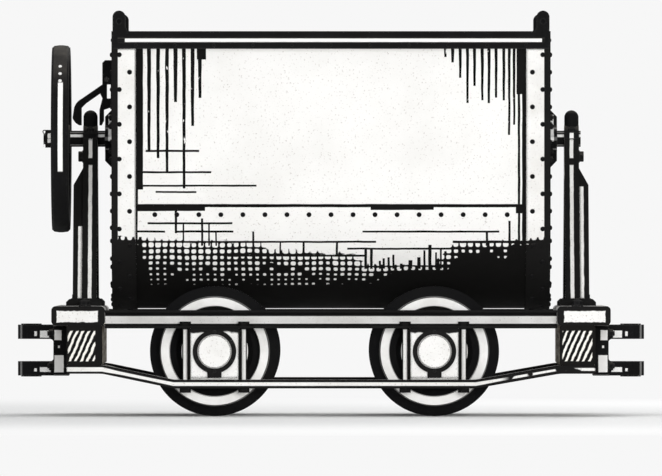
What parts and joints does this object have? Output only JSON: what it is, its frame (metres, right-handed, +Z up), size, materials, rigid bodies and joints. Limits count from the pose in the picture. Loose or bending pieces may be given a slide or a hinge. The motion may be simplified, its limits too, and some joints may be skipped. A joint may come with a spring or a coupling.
{
  "type": "side dump ore cart",
  "caption": "Narrow gauge mine cart: a riveted U shaped tub hung on trunnions between two end stands, tipped sideways by a hand wheel.",
  "frame": {"origin": "centre of the footprint, at the lowest point of the wheel flanges", "axes": "+X along the track towards the plain end, -X towards the hand wheel, +Y across to the far side, +Z up"},
  "size_m": [2.328, 1.132, 1.4969],
  "materials": {
    "tub_plate": "pale grey paint on riveted plate, worn at the edges",
    "dark_bar": "black paint on rolled bar",
    "hand_wheel_iron": "black painted casting, rim polished by hands",
    "frame_iron": "pale grey paint on rolled iron",
    "box_casting": "pale grey paint on rough casting",
    "dark_casting": "black painted casting",
    "wheel_iron": "dark casting with a bright worn tread",
    "turned_steel": "turned steel, lightly oiled",
    "sill_oak": "weathered sawn oak"
  },
  "bodies": {
    "root": {"side_rail_near": "frame_iron", "arch_bar_near": "frame_iron", "box_covers_near": "box_casting", "column_bolts_near": "dark_casting", "side_rail_far": "frame_iron", "arch_bar_far": "frame_iron", "box_covers_far": "box_casting", "column_bolts_far": "dark_casting", "end_sill_front": "sill_oak", "cap_beam_front": "frame_iron", "coupler_front": "dark_casting", "stand_front": "dark_casting", "bearing_cap_front": "dark_casting", "journal_box_front_near": "box_casting", "journal_box_front_far": "box_casting", "end_sill_rear": "sill_oak", "cap_beam_rear": "frame_iron", "coupler_rear": "dark_casting", "stand_rear": "dark_casting", "bearing_cap_rear": "dark_casting", "journal_box_rear_near": "box_casting", "journal_box_rear_far": "box_casting"},
    "wheelset_front": {"axle_front": "turned_steel", "wheel_front_near": "wheel_iron", "wheel_front_far": "wheel_iron"},
    "wheelset_rear": {"axle_rear": "turned_steel", "wheel_rear_near": "wheel_iron", "wheel_rear_far": "wheel_iron"},
    "tub": {"tub_trough": "tub_plate", "tub_side_near": "tub_plate", "tub_side_far": "tub_plate", "tub_end_front": "tub_plate", "tub_end_rear": "tub_plate", "corner_angle_front": "tub_plate", "corner_angle_rear": "tub_plate", "rim_bar_near": "dark_bar", "rim_bar_far": "dark_bar", "rim_bar_front": "dark_bar", "rim_bar_rear": "dark_bar", "trunnion_front": "turned_steel", "trunnion_rear": "turned_steel", "hand_wheel_rim": "hand_wheel_iron", "hand_wheel_spider": "hand_wheel_iron", "hand_wheel_nut": "hand_wheel_iron", "latch_bracket": "dark_bar", "latch_hook": "dark_bar"}
  },
  "joints": [
    {"name": "wheelset_front_spin", "type": "hinge", "parent": "root", "child": "wheelset_front", "pos_m": [-0.429, 0, 0.24], "axis": [0, 1, 0], "continuous": true},
    {"name": "wheelset_rear_spin", "type": "hinge", "parent": "root", "child": "wheelset_rear", "pos_m": [0.381, 0, 0.24], "axis": [0, 1, 0], "continuous": true},
    {"name": "tub_tip", "type": "hinge", "parent": "root", "child": "tub", "pos_m": [0, 0, 1.027], "axis": [1, 0, 0], "range_deg": [-110, 110]}
  ]
}
